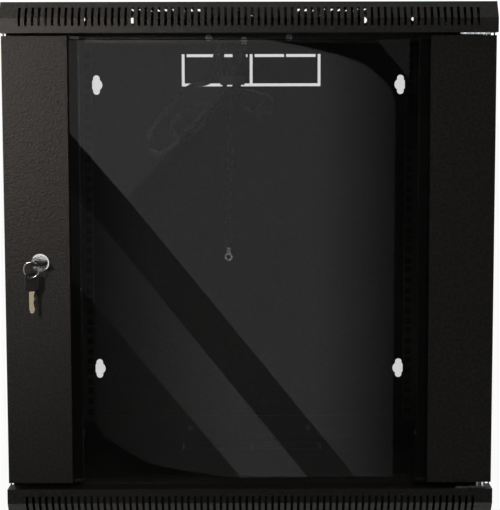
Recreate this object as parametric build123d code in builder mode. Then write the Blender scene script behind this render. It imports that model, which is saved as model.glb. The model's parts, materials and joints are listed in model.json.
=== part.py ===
"""Wall mount network cabinet, 12 units high, with a smoked glass door.

The wall lies in the plane y = 0 and the door faces -Y. X runs to the right of someone who
faces the door, Z is up, and the origin is the middle of the rear panel's outer face.
Lengths are in millimetres.
"""

import os
from math import cos, hypot, pi, radians, sin, sqrt, tan

from build123d import *

os.makedirs("parts", exist_ok=True)

# Cabinet as a whole
cabinet_width = 600.0
cabinet_height = 635.0
cabinet_depth = 450.0
sheet = 1.5
overrun = 2.0
seat_gap = 0.3

# Fascia along the front of the roof and of the base
bevel_height = 20.0
bevel_depth = 14.5
face_height = 17.5
slot_count = 70
slot_pitch = 8.0
slot_width = 3.2
slot_height = 22.0
slot_lift = 8.5

# Roof and base trays behind their fascias
tray_side_flange = 20.0
stop_setback = 28.0
stop_flange = 12.0
stop_screw_spacing = 98.0
stop_screw_drop = 5.0

# Fan vents in the roof
fan_spacing = 220.0
fan_setback = 225.0
fan_slot_count = 9
fan_slot_pitch = 11.0
fan_slot_width = 5.0
fan_slot_length = 96.0
fan_hole_pitch = 105.0
fan_hole_radius = 2.25

# Knock-outs for cables, two side by side
knock_pitch = 100.5
knock_height = 43.0
knock_line = 4.2
knock_tab = 3.2
knock_centre_x = 4.0
knock_top_drop = 37.0
knock_deck_setback = 50.0

# Wall holes: a round hole crossed by an upright slot
wall_hole_span_x = 450.0
wall_hole_span_z = 425.0
wall_hole_rise = 5.0
wall_hole_radius = 8.75
wall_slot_radius = 5.0
wall_slot_length = 28.6

# Round holes along the upper edge of the rear panel: two small outside two large
edge_hole_outer_span = 486.0
edge_hole_outer_radius = 2.6
edge_hole_inner_span = 342.0
edge_hole_inner_radius = 4.2

# Columns of the frame
column_inset = 4.0
post_depth = 30.0
post_front_flange = 26.0
post_rear_flange = 32.0
rear_column_depth = 30.0
rear_column_lip = 12.0
hinge_relief_width = 6.5

# Equipment rails: the hole rows stand 465.1 apart and one unit is 44.45 high
unit_height = 44.45
unit_count = 12
rail_hole_span = 465.1
rail_opening = 450.0
rail_front_flange = 25.0
rail_side_flange = 50.0
rail_margin = 7.0
square_hole = 9.5
unit_first_hole = 6.35
unit_hole_pitch = 15.875
side_hole_width = 6.0
side_hole_height = 14.0
front_rail_setback = 37.0
rear_rail_setback = 353.0
rail_travel_out = 22.0
rail_travel_in = 75.0
rear_rail_travel = 100.0
slide_gap = 0.15

# Side bars that carry the rails
bar_height = 24.0
bar_gap = 5.5
bar_end_margin = 2.0
bar_screw_inset = 20.4
bar_screw_pitch = 10.0

# Screws
screw_radius = 2.5
screw_head_radius = 4.5
screw_head_height = 2.5
screw_clearance = 0.15
rail_screw_radius = 3.0
rail_screw_head_radius = 5.5
rail_screw_head_height = 3.5
nut_across = 10.0
nut_height = 5.0
nut_overlap = 1.5
rear_screw_shares = (-0.88, -0.3, 0.3, 0.88)

# Door between the fascias
door_gap_side = 1.5
door_gap_top = 3.5
door_gap_bottom = 7.5
door_setback = 4.0
door_thickness = 16.0
stile_width = 79.0
stile_lip = 12.0
glass_thickness = 5.0
glass_recess = 2.2
glass_side_gap = 1.0
glass_margin_top = 4.0
glass_margin_bottom = 5.0
glass_seat = 14.0
tape_thickness = 0.8
tape_width = 10.0

# Hinge on the right of the door
hinge_inset = 13.5
hinge_setback = 6.0
hinge_pin_radius = 2.5
running_gap = 0.05
bracket_thickness = 2.0
bracket_inner_reach = 30.0
bracket_pad_width = 16.0
bracket_arm_depth = 9.0
bracket_outer_reach = 5.5
bracket_screw_inset = 6.0
collar_radius = 5.0
hinge_pin_engagement = 3.0
lever_reach = 18.0
lug_drop = 34.0
lug_width = 18.0
pin_collar_height = 2.0
pin_collar_radius = 4.0
spring_wire = 0.8
spring_turns = 5

# Cam locks
lock_inset = 43.0
lock_head_radius = 11.0
lock_head_height = 2.5
lock_barrel_radius = 9.0
lock_flat = 8.2
lock_plug_radius = 6.0
lock_nut_across = 22.0
lock_nut_height = 4.0
cam_thickness = 2.0
cam_width = 16.0
cam_square = 8.0
cam_reach = 35.0
cam_clearance = 0.6
plug_recess = 0.3
keyway_width = 7.0
keyway_thickness = 2.4
lock_fit = 0.1

# Keys
key_blade_width = 6.4
key_blade_thickness = 2.0
key_blade_length = 25.0
key_stand_off = 1.5
key_head_width = 20.0
key_head_height = 22.0
key_head_thickness = 3.6
key_head_corner = 5.0
key_head_edge = 1.3
key_slot_width = 12.0
key_slot_height = 4.2
key_rim = 3.0
key_bite_shares = (0.0, 0.22, 0.08, 0.3, 0.14, 0.0)
ring_radius = 9.0
ring_wire = 0.9
spare_key_twist = 40.0

# Side panels
panel_sheet = 1.0
panel_return = 12.0
panel_end_gap = 1.0
panel_top_gap = 1.0
panel_slot_count = 14
panel_slot_pitch = 14.0
panel_slot_width = 4.0
panel_slot_height = 30.0
panel_slot_margin = 60.0
panel_tongue_length = 30.0
panel_tongue_depth = 8.0
panel_tongue_spacing = 240.0
panel_lock_drop = 28.0
panel_barrel_length = 12.0
panel_cam_reach = 36.0
panel_cam_bend = 14.0
panel_cam_rise_run = 8.0

# Earth lead, tied up in a hank behind the door
lead_diameter = 5.5
lead_stud_x = -6.0
lead_stud_drop = 8.0
lead_plane_setback = 65.0
hank_depth = 15.0
hank_top_z = 270.0
hank_bottom_z = 198.0
hank_flare_left = 8.0
hank_flare_right = 3.0
waist_width = 27.0
tie_x = -20.5
tie_bottom_z = 217.5
hank_leg_high = ((-40.0, 266.8, 3.2), (-40.0, 232.0, 3.2))
hank_leg_low = ((-40.0, 232.0, 3.2), (-58.0, 215.5, 3.2))
hank_left_loop = ((-60.0, 214.0, 4.5), (-29.0, 203.5, 5.0), (-107.0, 156.0, 18.5))
hank_right_loop = ((-14.5, 207.0, 5.5), (15.0, 197.0, 12.0))
tie_height = 11.0
tie_thickness = 1.3
tie_gap = 0.3
sleeve_radius = 5.6
sleeve_length = 31.0
terminal_ring_radius = 5.0
terminal_hole_radius = 2.6
terminal_thickness = 1.0
terminal_barrel_radius = 2.6
terminal_barrel_length = 7.6

# Rubber bumpers that the door closes on
bumper_spacing = 400.0
bumper_radius = 4.5
bumper_inset = 1.0
bumper_taper = 8.0

# Derived planes of the cabinet
half_width = cabinet_width / 2
half_height = cabinet_height / 2
front = -cabinet_depth
fascia_edge = half_height - bevel_height - face_height
crease = half_height - bevel_height
stop_front = front + stop_setback
post_rear = stop_front + post_depth
column_x = half_width - column_inset
post_inner_x = column_x - post_front_flange
under_roof = half_height - sheet

# Derived planes of the door and its hinge
door_front = front + door_setback
door_back = door_front + door_thickness
door_top = fascia_edge - door_gap_top
door_bottom = door_gap_bottom - fascia_edge
door_height = door_top - door_bottom
door_edge = half_width - door_gap_side
stile_inner = door_edge - stile_width
hinge_x = door_edge - hinge_inset
hinge_y = door_front + hinge_setback
pin_bore = hinge_pin_radius + running_gap
bracket_rear = stop_front - overrun
bracket_pad_x = hinge_x - bracket_inner_reach + bracket_pad_width / 2


def folded_section(path, wall):
    """Outline of a sheet folded along the path, with its wall on the path's right side."""
    points = [Vector(*point) for point in path]
    runs = [(end - start).normalized() for start, end in zip(points, points[1:])]
    sides = [Vector(run.Y, -run.X) for run in runs]
    inner = []
    for index, point in enumerate(points):
        before = sides[max(index - 1, 0)]
        after = sides[min(index, len(sides) - 1)]
        inner.append(point + (before + after) * (wall / (1 + before.dot(after))))
    return [(point.X, point.Y) for point in points + inner[::-1]]


def save(builder, node):
    """Name a finished piece and write it."""
    builder.part.label = node
    export_step(builder.part, f"parts/{node}.step")


def save_pair(builder, node):
    """Write a piece of the right side and its mirror image on the left."""
    with BuildPart() as twin:
        mirror(builder.part, about=Plane.YZ)
    save(builder, f"{node}_right")
    save(twin, f"{node}_left")


def box_between(low, high, mode=Mode.ADD):
    """A box from its low corner to its high corner."""
    size = [top - bottom for bottom, top in zip(low, high)]
    with Locations(low):
        Box(*size, align=(Align.MIN, Align.MIN, Align.MIN), mode=mode)


def knock_out_lines():
    """Cut lines of two knock-outs that hang from tabs along their upper edge."""
    dash = (knock_pitch - knock_line - 3 * knock_tab) / 2
    with Locations(*[(column * knock_pitch, 0) for column in (-1, 0, 1)]):
        Rectangle(knock_line, knock_height + knock_line)
    with Locations((0, -knock_height / 2)):
        Rectangle(2 * knock_pitch + knock_line, knock_line)
    for cell in (-0.5, 0.5):
        for half in (-1, 1):
            place = cell * knock_pitch + half * (dash + knock_tab) / 2
            with Locations((place, knock_height / 2)):
                Rectangle(dash, knock_line)


def edge_holes():
    """Round holes that touch the sheet above them, in two pairs."""
    for span, radius in (
        (edge_hole_outer_span, edge_hole_outer_radius),
        (edge_hole_inner_span, edge_hole_inner_radius),
    ):
        with Locations((-span / 2, under_roof - radius), (span / 2, under_roof - radius)):
            Circle(radius)


def hexagon_radius(across):
    """Corner radius of a hexagon from its width across the flats."""
    return across / sqrt(3)


# Tray that serves as the roof and, upside down, as the base
tray_path = [
    (stop_front, fascia_edge - stop_flange),
    (stop_front, fascia_edge),
    (front, fascia_edge),
    (front, crease),
    (front + bevel_depth, half_height),
    (-sheet, half_height),
    (-sheet, fascia_edge),
]
tray_end = [
    (front, fascia_edge),
    (front, crease),
    (front + bevel_depth, half_height),
    (-sheet, half_height),
    (-sheet, half_height - tray_side_flange),
    (stop_front, half_height - tray_side_flange),
    (stop_front, fascia_edge),
]
slot_z = fascia_edge + slot_lift + slot_height / 2
stop_screw_z = fascia_edge - stop_screw_drop
stop_screw_places = [(-stop_screw_spacing / 2, stop_screw_z), (stop_screw_spacing / 2, stop_screw_z)]
lead_stud_z = fascia_edge - lead_stud_drop
rear_screw_z = (half_height + fascia_edge) / 2
rear_screw_places = [(share * column_x, rear_screw_z) for share in rear_screw_shares]
post_screw_x = (post_inner_x + column_x) / 2
post_screw_y = (stop_front + post_rear) / 2
post_screw_places = [(side * post_screw_x, post_screw_y) for side in (-1, 1)]

bracket_screw_places = [
    (bracket_pad_x, door_front + bracket_screw_inset),
    (bracket_pad_x, bracket_rear - bracket_screw_inset),
]

with BuildPart() as tray:
    with BuildSketch(Plane.YZ):
        Polygon(*folded_section(tray_path, sheet), align=None)
    extrude(amount=half_width, both=True)
    for end_x in (-half_width, half_width - sheet):
        with BuildSketch(Plane.YZ.offset(end_x)):
            Polygon(*tray_end, align=None)
        extrude(amount=sheet)
    # The stop flange and the rear flange end where the columns pass
    for side in (-1, 1):
        inner = post_inner_x - seat_gap
        outer = half_width - sheet
        low_x, high_x = sorted((side * inner, side * outer))
        box_between(
            (low_x, stop_front - seat_gap, fascia_edge - stop_flange - overrun),
            (high_x, stop_front + sheet + overrun, fascia_edge + sheet + overrun),
            Mode.SUBTRACT,
        )
        inner = column_x - sheet - seat_gap
        low_x, high_x = sorted((side * inner, side * outer))
        box_between(
            (low_x, -2 * sheet - seat_gap, fascia_edge - overrun),
            (high_x, -sheet, under_roof),
            Mode.SUBTRACT,
        )
    # Ventilation slots that run over the fold of the fascia
    with BuildSketch(Plane.XZ.offset(-front + overrun)):
        with Locations((0, slot_z)):
            with GridLocations(slot_pitch, slot_pitch, slot_count, 1):
                Rectangle(slot_width, slot_height)
    extrude(amount=-(bevel_depth + 2 * overrun), mode=Mode.SUBTRACT)
    # Screw holes of the rear flange, the posts and the hinge brackets
    with BuildSketch(Plane.XZ):
        with Locations(*rear_screw_places):
            Circle(screw_radius + screw_clearance)
        edge_holes()
    extrude(amount=2 * sheet + overrun, mode=Mode.SUBTRACT)
    with BuildSketch(Plane.XY.offset(half_height + overrun)):
        with Locations(*post_screw_places):
            Circle(screw_radius + screw_clearance)
        with Locations(Location((knock_centre_x, -knock_deck_setback), 180)):
            knock_out_lines()
    extrude(amount=-(sheet + 2 * overrun), mode=Mode.SUBTRACT)
    with BuildSketch(Plane.XY.offset(fascia_edge - overrun)):
        with Locations(*bracket_screw_places):
            Circle(screw_radius + screw_clearance)
    extrude(amount=sheet + 2 * overrun, mode=Mode.SUBTRACT)

with BuildPart() as roof:
    add(tray.part)
    with BuildSketch(Plane.XZ.offset(-stop_front + overrun)):
        with Locations(*stop_screw_places, (lead_stud_x, lead_stud_z)):
            Circle(screw_radius + screw_clearance)
    extrude(amount=-(sheet + 2 * overrun), mode=Mode.SUBTRACT)
    with BuildSketch(Plane.XY.offset(fascia_edge - overrun)):
        with Locations((hinge_x, hinge_y)):
            Circle(hinge_pin_radius + seat_gap)
    extrude(amount=sheet + 2 * overrun, mode=Mode.SUBTRACT)
    with BuildSketch(Plane.XY.offset(half_height + overrun)):
        with Locations((-fan_spacing / 2, -fan_setback), (fan_spacing / 2, -fan_setback)):
            with GridLocations(fan_slot_pitch, fan_slot_pitch, fan_slot_count, 1):
                Rectangle(fan_slot_width, fan_slot_length)
            with GridLocations(fan_hole_pitch, fan_hole_pitch, 2, 2):
                Circle(fan_hole_radius)
    extrude(amount=-(sheet + 2 * overrun), mode=Mode.SUBTRACT)
save(roof, "roof")

with BuildPart() as base:
    mirror(tray.part, about=Plane.XY)
save(base, "base")

# Rear panel: a web with a folded column on each side
rear_path = [
    (rear_column_lip - column_x, -rear_column_depth),
    (-column_x, -rear_column_depth),
    (-column_x, 0),
    (column_x, 0),
    (column_x, -rear_column_depth),
    (column_x - rear_column_lip, -rear_column_depth),
]
knock_z = fascia_edge - knock_top_drop - knock_line
with BuildPart() as rear_panel:
    with BuildSketch(Plane.XY):
        Polygon(*folded_section(rear_path, sheet), align=None)
    extrude(amount=under_roof, both=True)
    box_between((-column_x, -sheet, -half_height), (column_x, 0, half_height))
    with BuildSketch(Plane.XZ.offset(-overrun)):
        with Locations((0, wall_hole_rise)):
            with GridLocations(wall_hole_span_x, wall_hole_span_z, 2, 2):
                Circle(wall_hole_radius)
                SlotOverall(wall_slot_length, 2 * wall_slot_radius, rotation=90)
        with Locations((knock_centre_x, knock_z)):
            knock_out_lines()
        edge_holes()
        for level in (-1, 1):
            with Locations(*[(x, level * z) for x, z in rear_screw_places]):
                Circle(screw_radius + screw_clearance)
    extrude(amount=sheet + 2 * overrun, mode=Mode.SUBTRACT)
    # Bar screws pass through the lips of the columns
    bar_z = fascia_edge + bar_height / 2 + bar_gap
    rear_tab_x = column_x - rear_column_lip / 2
    with BuildSketch(Plane.XZ.offset(rear_column_depth + overrun)):
        with GridLocations(2 * rear_tab_x, 2 * bar_z, 2, 2):
            Circle(screw_radius + screw_clearance)
    extrude(amount=-(sheet + 2 * overrun), mode=Mode.SUBTRACT)
save(rear_panel, "rear_panel")

# Front posts: a side strip each, with a door stop, a rear flange and end plates welded to it
bar_screw_x = column_x - bar_screw_inset
bar_screw_places = [
    (bar_screw_x + side * bar_screw_pitch / 2, bar_z + level * bar_screw_pitch / 2)
    for side in (-1, 1)
    for level in (-1, 1)
]
hinge_relief_z = fascia_edge - stop_flange
stop_end_z = fascia_edge + 2 * sheet


def hinge_reliefs():
    """Room for the hinge brackets at both ends of the right post."""
    for level in (-1, 1):
        low_z, high_z = sorted((level * hinge_relief_z, level * stop_end_z))
        box_between(
            (column_x - hinge_relief_width, stop_front - overrun, low_z),
            (column_x + overrun, post_rear + overrun, high_z),
            Mode.SUBTRACT,
        )


with BuildPart() as post_left:
    box_between((-column_x, stop_front, -under_roof), (sheet - column_x, post_rear, under_roof))
save(post_left, "post_left")
with BuildPart() as post_right:
    box_between(
        (column_x - sheet, stop_front, -hinge_relief_z), (column_x, post_rear, hinge_relief_z)
    )
save(post_right, "post_right")
with BuildPart() as door_stops:
    for side in (-1, 1):
        low_x, high_x = sorted((side * post_inner_x, side * (column_x - sheet)))
        box_between((low_x, stop_front, -stop_end_z), (high_x, stop_front + sheet, stop_end_z))
    hinge_reliefs()
save(door_stops, "door_stops")
with BuildPart() as post_flanges:
    for side in (-1, 1):
        low_x, high_x = sorted((side * (column_x - post_rear_flange), side * (column_x - sheet)))
        box_between((low_x, post_rear - sheet, -under_roof), (high_x, post_rear, under_roof))
    hinge_reliefs()
    with BuildSketch(Plane.XZ.offset(-post_rear - overrun)):
        for side in (-1, 1):
            for level in (-1, 1):
                with Locations(*[(side * x, level * z) for x, z in bar_screw_places]):
                    Circle(screw_radius + screw_clearance)
    extrude(amount=sheet + 2 * overrun, mode=Mode.SUBTRACT)
save(post_flanges, "post_flanges")
with BuildPart() as post_ends:
    for side in (-1, 1):
        low_x, high_x = sorted((side * (post_inner_x + sheet), side * (column_x - sheet)))
        for level in (-1, 1):
            low_z, high_z = sorted((level * under_roof, level * (under_roof - sheet)))
            box_between((low_x, stop_front + sheet, low_z), (high_x, post_rear - sheet, high_z))
    with BuildSketch(Plane.XY.offset(-half_height)):
        with Locations((-post_screw_x, post_screw_y), (post_screw_x, post_screw_y)):
            Circle(screw_radius + screw_clearance)
    extrude(amount=cabinet_height, mode=Mode.SUBTRACT)
save(post_ends, "post_ends")

# Side bars between the posts and the rear columns
rail_inner_x = rail_opening / 2
rail_outer_x = rail_inner_x + rail_front_flange
bar_web_x = rail_outer_x + slide_gap
bar_end_x = column_x - bar_end_margin
front_rail_y = stop_front + front_rail_setback
rear_rail_y = stop_front + rear_rail_setback
rail_screw_offset = rail_side_flange / 2
front_screw_y = front_rail_y + rail_screw_offset
rear_screw_y = rear_rail_y + rail_screw_offset
bar_path = [
    (bar_end_x, post_rear),
    (bar_web_x, post_rear),
    (bar_web_x, -rear_column_depth),
    (bar_end_x, -rear_column_depth),
]
bar_slots = [
    (front_screw_y - rail_travel_out, front_screw_y + rail_travel_in),
    (rear_screw_y - rear_rail_travel, rear_screw_y),
]
with BuildPart() as side_bar:
    with BuildSketch(Plane.XY.offset(bar_z - bar_height / 2)):
        Polygon(*folded_section(bar_path, sheet), align=None)
    extrude(amount=bar_height)
    slot_radius = rail_screw_radius + 2 * slide_gap
    with BuildSketch(Plane.YZ.offset(bar_web_x - overrun)):
        for slot_start, slot_end in bar_slots:
            with Locations(((slot_start + slot_end) / 2, bar_z)):
                SlotCenterToCenter(slot_end - slot_start, 2 * slot_radius)
    extrude(amount=sheet + 2 * overrun, mode=Mode.SUBTRACT)
    for flange_y, places in ((post_rear, bar_screw_places), (-rear_column_depth, [(rear_tab_x, bar_z)])):
        with BuildSketch(Plane.XZ.offset(-flange_y - 2 * sheet)):
            with Locations(*places):
                Circle(screw_radius + screw_clearance)
        extrude(amount=4 * sheet, mode=Mode.SUBTRACT)
with BuildPart() as lower_bar:
    mirror(side_bar.part, about=Plane.XY)
save_pair(side_bar, "side_bar_upper")
save_pair(lower_bar, "side_bar_lower")

# Equipment rails: square holes in the front flange, tall holes in the side flange
rail_half = unit_height * unit_count / 2
rail_front_top = rail_half + rail_margin
rail_top = bar_z + bar_height / 2 - bar_end_margin


def build_rail(rail_y):
    """Right-hand rail whose holed front flange lies at this y."""
    rail_path = [
        (rail_outer_x, rail_y + rail_side_flange),
        (rail_outer_x, rail_y),
        (rail_inner_x, rail_y),
    ]
    hole_x = rail_hole_span / 2
    units = [index * unit_height - rail_half for index in range(unit_count)]
    with BuildPart() as rail:
        with BuildSketch(Plane.XY):
            Polygon(*folded_section(rail_path, sheet), align=None)
        extrude(amount=rail_top, both=True)
        for level in (-1, 1):
            low_z, high_z = sorted((level * rail_front_top, level * (rail_top + overrun)))
            box_between(
                (rail_inner_x - overrun, rail_y - overrun, low_z),
                (rail_outer_x - sheet, rail_y + sheet + overrun, high_z),
                Mode.SUBTRACT,
            )
        with BuildSketch(Plane.XZ.offset(-rail_y + overrun)):
            for unit_low in units:
                first = unit_low + unit_first_hole
                with Locations(*[(hole_x, first + step * unit_hole_pitch) for step in range(3)]):
                    Rectangle(square_hole, square_hole)
        extrude(amount=-(sheet + 2 * overrun), mode=Mode.SUBTRACT)
        with BuildSketch(Plane.YZ.offset(rail_outer_x - sheet - overrun)):
            for unit_low in units:
                with Locations((rail_y + rail_screw_offset, unit_low + unit_height / 2)):
                    Rectangle(side_hole_width, side_hole_height)
            with Locations(*[(rail_y + rail_screw_offset, level * bar_z) for level in (-1, 1)]):
                Circle(rail_screw_radius + screw_clearance)
        extrude(amount=sheet + 2 * overrun, mode=Mode.SUBTRACT)
    return rail


def build_rail_screws(screw_y):
    """The two screws and nuts that clamp a right-hand rail to its side bars."""
    head_face = rail_outer_x - sheet
    nut_face = bar_web_x + sheet + slide_gap
    with BuildPart() as screws:
        with BuildSketch(Plane.YZ.offset(head_face)):
            with Locations((screw_y, bar_z), (screw_y, -bar_z)):
                RegularPolygon(rail_screw_head_radius, 6)
        extrude(amount=-rail_screw_head_height)
        with BuildSketch(Plane.YZ.offset(head_face)):
            with Locations((screw_y, bar_z), (screw_y, -bar_z)):
                Circle(rail_screw_radius)
        extrude(amount=nut_face - head_face + nut_height + nut_overlap)
        with BuildSketch(Plane.YZ.offset(nut_face)):
            with Locations((screw_y, bar_z), (screw_y, -bar_z)):
                RegularPolygon(hexagon_radius(nut_across), 6)
        extrude(amount=nut_height)
    return screws


save_pair(build_rail(front_rail_y), "rail_front")
save_pair(build_rail(rear_rail_y), "rail_rear")
save_pair(build_rail_screws(front_screw_y), "rail_front_screws")
save_pair(build_rail_screws(rear_screw_y), "rail_rear_screws")


def add_screw(plane, places, grip):
    """Screws whose hexagon heads stand on the plane, with shanks that run grip deep behind it."""
    with BuildSketch(plane) as heads:
        with Locations(*places):
            RegularPolygon(screw_head_radius, 6)
    extrude(heads.sketch, amount=screw_head_height)
    with BuildSketch(plane) as shanks:
        with Locations(*places):
            Circle(screw_radius)
    extrude(shanks.sketch, amount=-grip)


# Frame screws, with their heads inside the cabinet except along the stop flange
with BuildPart() as frame_screws:
    for level in (-1, 1):
        places = [(x, level * z) for x, z in rear_screw_places]
        add_screw(Plane.XZ.offset(2 * sheet), places, 2 * sheet)
        upward = Plane((0, 0, level * (under_roof - sheet)), x_dir=(1, 0, 0), z_dir=(0, 0, -level))
        places = [(x, -level * y) for x, y in post_screw_places]
        add_screw(upward, places, 2 * sheet)
    places = [(side * x, level * z) for x, z in bar_screw_places for side in (-1, 1) for level in (-1, 1)]
    add_screw(Plane.XZ.offset(sheet - post_rear), places, 2 * sheet)
    places = [(side * rear_tab_x, level * bar_z) for side in (-1, 1) for level in (-1, 1)]
    add_screw(Plane.XZ.offset(rear_column_depth + sheet), places, 2 * sheet)
    add_screw(Plane.XZ.offset(-stop_front), stop_screw_places, 2 * sheet)
save(frame_screws, "frame_screws")

# Door stiles: folded channels with closed ends and a seat for the glass
glass_back = door_front + glass_recess + glass_thickness
seat_face = glass_back + tape_thickness
stile_path = [
    (door_edge - stile_lip, door_back),
    (door_edge, door_back),
    (door_edge, door_front),
    (stile_inner, door_front),
    (stile_inner, seat_face),
    (stile_inner - glass_seat, seat_face),
]
with BuildPart() as stile:
    with BuildSketch(Plane.XY.offset(door_bottom)):
        Polygon(*folded_section(stile_path, sheet), align=None)
    extrude(amount=door_height)
    for end_z in (door_bottom, door_top - sheet):
        box_between((stile_inner, door_front, end_z), (door_edge, door_back, end_z + sheet))

lock_x = lock_inset - door_edge
lock_z = (door_top + door_bottom) / 2
with BuildPart() as door_stile_left:
    mirror(stile.part, about=Plane.YZ)
    with BuildSketch(Plane.XZ.offset(-door_front + overrun)):
        with Locations((lock_x, lock_z)):
            Circle(lock_barrel_radius + lock_fit)
    extrude(amount=-(sheet + 2 * overrun), mode=Mode.SUBTRACT)
save(door_stile_left, "door_stile_left")

lug_z = door_top - lug_drop
with BuildPart() as door_stile_right:
    add(stile.part)
    box_between(
        (hinge_x - lug_width / 2, door_front + sheet, lug_z),
        (hinge_x + lug_width / 2, door_back - sheet - seat_gap, lug_z + sheet),
    )
    with BuildSketch(Plane.XY.offset(door_bottom - overrun)):
        with Locations((hinge_x, hinge_y)):
            Circle(pin_bore)
    extrude(amount=door_height + 2 * overrun, mode=Mode.SUBTRACT)
save(door_stile_right, "door_stile_right")

# Glass and the tape that holds it on its seats
glass_half_width = stile_inner - glass_side_gap
glass_bottom = door_bottom + glass_margin_bottom
glass_top = door_top - glass_margin_top
with BuildPart() as door_glass:
    box_between(
        (-glass_half_width, glass_back - glass_thickness, glass_bottom),
        (glass_half_width, glass_back, glass_top),
    )
    chamfer(door_glass.faces().sort_by(Axis.Y)[0].edges(), glass_side_gap)
save(door_glass, "door_glass")
with BuildPart() as glass_tape:
    tape_x = stile_inner - glass_seat / 2
    box_between(
        (tape_x - tape_width / 2, glass_back, glass_bottom),
        (tape_x + tape_width / 2, seat_face, glass_top),
    )
    mirror(glass_tape.part, about=Plane.YZ)
save(glass_tape, "glass_tapes")

# Hinge brackets under the roof's fascia and on the base's fascia
pad_left = bracket_pad_x - bracket_pad_width / 2
pad_right = bracket_pad_x + bracket_pad_width / 2
bracket_outline = [
    (pad_left, door_front),
    (pad_right, door_front),
    (pad_right, hinge_y - bracket_arm_depth / 2),
    (hinge_x + bracket_outer_reach, hinge_y - bracket_arm_depth / 2),
    (hinge_x + bracket_outer_reach, hinge_y + bracket_arm_depth / 2),
    (pad_right, hinge_y + bracket_arm_depth / 2),
    (pad_right, bracket_rear),
    (pad_left, bracket_rear),
]
with BuildPart() as hinge_bracket_top:
    with BuildSketch(Plane.XY.offset(fascia_edge)):
        Polygon(*bracket_outline, align=None)
        with Locations((hinge_x, hinge_y)):
            Circle(pin_bore, mode=Mode.SUBTRACT)
        with Locations(*bracket_screw_places):
            Circle(screw_radius + screw_clearance, mode=Mode.SUBTRACT)
    extrude(amount=-bracket_thickness)
save(hinge_bracket_top, "hinge_bracket_top")
with BuildPart() as hinge_bracket_bottom:
    with BuildSketch(Plane.XY.offset(-fascia_edge)):
        Polygon(*bracket_outline, align=None)
        with Locations(*bracket_screw_places):
            Circle(screw_radius + screw_clearance, mode=Mode.SUBTRACT)
    extrude(amount=bracket_thickness)
    with BuildSketch(Plane.XY.offset(bracket_thickness - fascia_edge)):
        with Locations((hinge_x, hinge_y)):
            Circle(collar_radius)
    extrude(amount=door_gap_bottom - bracket_thickness - seat_gap)
    with BuildSketch(Plane.XY.offset(bracket_thickness - fascia_edge)):
        with Locations((hinge_x, hinge_y)):
            Circle(hinge_pin_radius)
    extrude(amount=door_gap_bottom - bracket_thickness + 4 * hinge_pin_radius)
save(hinge_bracket_bottom, "hinge_bracket_bottom")
with BuildPart() as hinge_bracket_screws:
    add_screw(Plane.XY.offset(fascia_edge + sheet), bracket_screw_places, sheet + bracket_thickness)
    mirror(hinge_bracket_screws.part, about=Plane.XY)
save(hinge_bracket_screws, "hinge_bracket_screws")

# Spring pin of the upper hinge, drawn down by its lever to free the door
pin_top = fascia_edge + sheet + hinge_pin_engagement
pin_bottom = lug_z - hinge_pin_engagement * 2
pin_collar_z = door_top - sheet - lug_drop / 3
with BuildPart() as hinge_pin:
    with BuildSketch(Plane.XY.offset(pin_bottom)):
        with Locations((hinge_x, hinge_y)):
            Circle(hinge_pin_radius)
    extrude(amount=pin_top - pin_bottom)
    with BuildSketch(Plane.XY.offset(pin_collar_z)):
        with Locations((hinge_x, hinge_y)):
            Circle(pin_collar_radius)
    extrude(amount=pin_collar_height)
    with BuildSketch(Plane.YZ.offset(hinge_x - lever_reach)):
        with Locations((hinge_y, pin_bottom)):
            Circle(hinge_pin_radius)
    extrude(amount=lever_reach)
    with Locations((hinge_x, hinge_y, pin_bottom)):
        Sphere(hinge_pin_radius)
save(hinge_pin, "hinge_pin")

spring_bottom = lug_z + sheet + seat_gap
spring_height = pin_collar_z - seat_gap - spring_bottom - spring_wire
spring_radius = hinge_pin_radius + spring_wire
with BuildPart() as hinge_spring:
    with BuildLine():
        coil = Helix(
            pitch=spring_height / spring_turns,
            height=spring_height,
            radius=spring_radius,
            center=(hinge_x, hinge_y, spring_bottom + spring_wire / 2),
        )
    with BuildSketch(Plane(origin=coil @ 0, z_dir=coil % 0)):
        RegularPolygon(spring_wire / 2, 6)
    sweep(is_frenet=True)
save(hinge_spring, "hinge_spring")


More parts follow.
